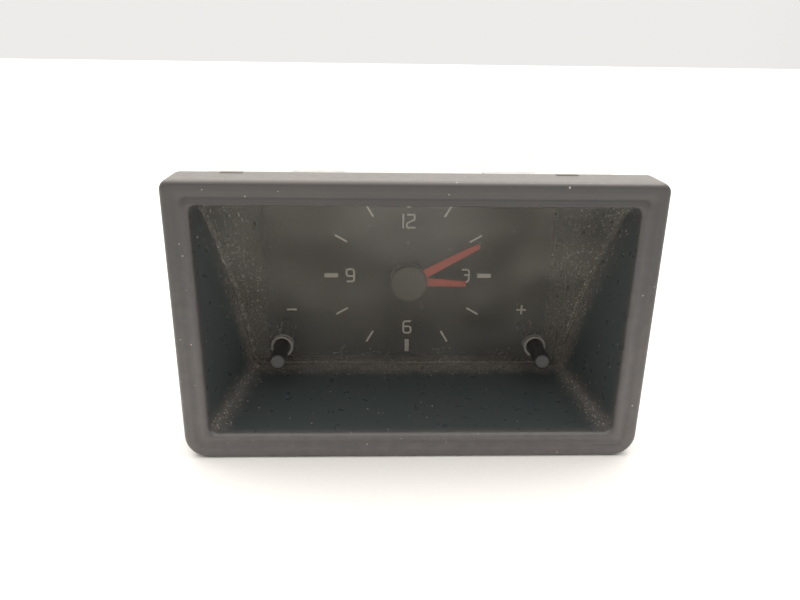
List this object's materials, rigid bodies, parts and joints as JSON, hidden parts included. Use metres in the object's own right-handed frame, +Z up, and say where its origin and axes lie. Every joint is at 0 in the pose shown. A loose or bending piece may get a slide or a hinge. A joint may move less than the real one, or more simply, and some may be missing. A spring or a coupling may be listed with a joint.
{
  "type": "dashboard clock",
  "caption": "Rectangular panel clock with a deep hooded bezel, a curved slanted lens, a plain dial with two hands and two push buttons, and a rear housing.",
  "frame": {"origin": "centre of the bezel's rear seat plane, where its skirt meets the panel", "axes": "+X to the right and +Z up as the viewer sees the dial, +Y from the viewer into the panel"},
  "size_m": [0.11, 0.072, 0.0682],
  "materials": {
    "bezel_plastic": "fine-grained moulded dark grey ABS",
    "lens_clear": "clear acrylic, hazed and finely scratched",
    "dial_dark": "matt dark brown-grey screen-printed sheet",
    "dial_print": "pale matt printing ink",
    "hand_orange": "orange-red satin paint",
    "hub_black": "matt black moulded plastic",
    "button_black": "semi-gloss black acetal",
    "guide_clear": "clear polished acrylic",
    "carrier_natural": "natural off-white acetal",
    "housing_white": "off-white moulded ABS",
    "brass": "stamped and satin-turned brass",
    "steel": "turned bright steel",
    "zinc_screw": "bright zinc-plated steel",
    "spring_steel": "bright rolled spring steel",
    "stator_iron": "annealed soft iron",
    "magnet_dark": "sintered ferrite",
    "gear_plastic": "natural acetal",
    "copper_winding": "enamelled copper wire",
    "board_laminate": "brown phenolic laminate",
    "chip_epoxy": "moulded black epoxy",
    "can_metal": "drawn metal can",
    "capacitor_sleeve": "shrunk plastic sleeve",
    "resistor_body": "lacquered ceramic",
    "diode_body": "moulded epoxy",
    "terminal_tin": "tin-plated brass",
    "lamp_black": "black moulded nylon",
    "lamp_glass": "clear lamp glass"
  },
  "bodies": {
    "case_body": {"bezel_hood": "bezel_plastic", "lens": "lens_clear", "dial_plate": "dial_dark", "dial_markings": "dial_print", "light_guide": "guide_clear", "centre_turret": "hub_black", "movement_carrier": "carrier_natural", "movement_back_plate": "brass", "stator_plate": "stator_iron", "coil_core": "stator_iron", "coil_bobbin": "gear_plastic", "coil_winding": "copper_winding", "movement_screws": "zinc_screw", "circuit_board": "board_laminate", "board_screws": "zinc_screw", "quartz_crystal": "can_metal", "clock_chip": "chip_epoxy", "smoothing_capacitor": "capacitor_sleeve", "board_resistors": "resistor_body", "protection_diode": "diode_body", "terminal_blades": "terminal_tin", "switch_contacts": "spring_steel", "button_spring_minus": "steel", "button_spring_plus": "steel", "rear_housing": "housing_white", "housing_screws": "zinc_screw", "retaining_clip_top_left": "spring_steel", "retaining_clip_top_right": "spring_steel", "retaining_clip_bottom_left": "spring_steel", "retaining_clip_bottom_right": "spring_steel"},
    "minute_body": {"minute_hand": "hand_orange", "hub_cap": "hub_black", "minute_arbor": "steel", "centre_wheel": "brass"},
    "hour_body": {"hour_hand": "hand_orange", "hour_wheel": "gear_plastic"},
    "motion_body": {"motion_wheel": "gear_plastic"},
    "third_body": {"third_arbor": "steel", "third_wheel": "gear_plastic"},
    "rotor_body": {"rotor_arbor": "steel", "rotor_magnet": "magnet_dark"},
    "button_minus_body": {"setting_button_minus": "button_black"},
    "button_plus_body": {"setting_button_plus": "button_black"},
    "lamp_body": {"lamp_holder": "lamp_black", "lamp_bulb": "lamp_glass"}
  },
  "joints": [
    {"name": "minute_hand_turn", "type": "hinge", "parent": "case_body", "child": "minute_body", "pos_m": [0, 0.0297, 0], "axis": [0, 1, 0], "continuous": true},
    {"name": "hour_hand_turn", "type": "hinge", "parent": "case_body", "child": "hour_body", "pos_m": [0, 0.0297, 0], "axis": [0, 1, 0], "continuous": true},
    {"name": "motion_wheel_turn", "type": "hinge", "parent": "case_body", "child": "motion_body", "pos_m": [0.006, 0.0315, 0], "axis": [0, 1, 0], "continuous": true},
    {"name": "third_wheel_turn", "type": "hinge", "parent": "case_body", "child": "third_body", "pos_m": [-0.00662, 0.036, 0.00555], "axis": [0, 1, 0], "continuous": true},
    {"name": "rotor_turn", "type": "hinge", "parent": "case_body", "child": "rotor_body", "pos_m": [-0.01301, 0.038, 0.00323], "axis": [0, 1, 0], "continuous": true},
    {"name": "button_minus_press", "type": "slide", "parent": "case_body", "child": "button_minus_body", "axis": [0, 1, 0], "range_m": [0, 0.0015], "stiffness_N_per_m": 300, "springref_m": -0.002, "deforming": ["button_spring_minus"]},
    {"name": "button_plus_press", "type": "slide", "parent": "case_body", "child": "button_plus_body", "axis": [0, 1, 0], "range_m": [0, 0.0015], "stiffness_N_per_m": 300, "springref_m": -0.002, "deforming": ["button_spring_plus"]},
    {"name": "lamp_holder_turn", "type": "hinge", "parent": "case_body", "child": "lamp_body", "pos_m": [0.03, 0.052, 0.0176], "axis": [0, 1, 0], "range_deg": [0, 80]}
  ],
  "couplings": [
    {"joint": "hour_hand_turn", "follows": "minute_hand_turn", "ratio": 0.083333},
    {"joint": "motion_wheel_turn", "follows": "minute_hand_turn", "ratio": -0.33333},
    {"joint": "third_wheel_turn", "follows": "minute_hand_turn", "ratio": -8},
    {"joint": "rotor_turn", "follows": "minute_hand_turn", "ratio": 60}
  ]
}
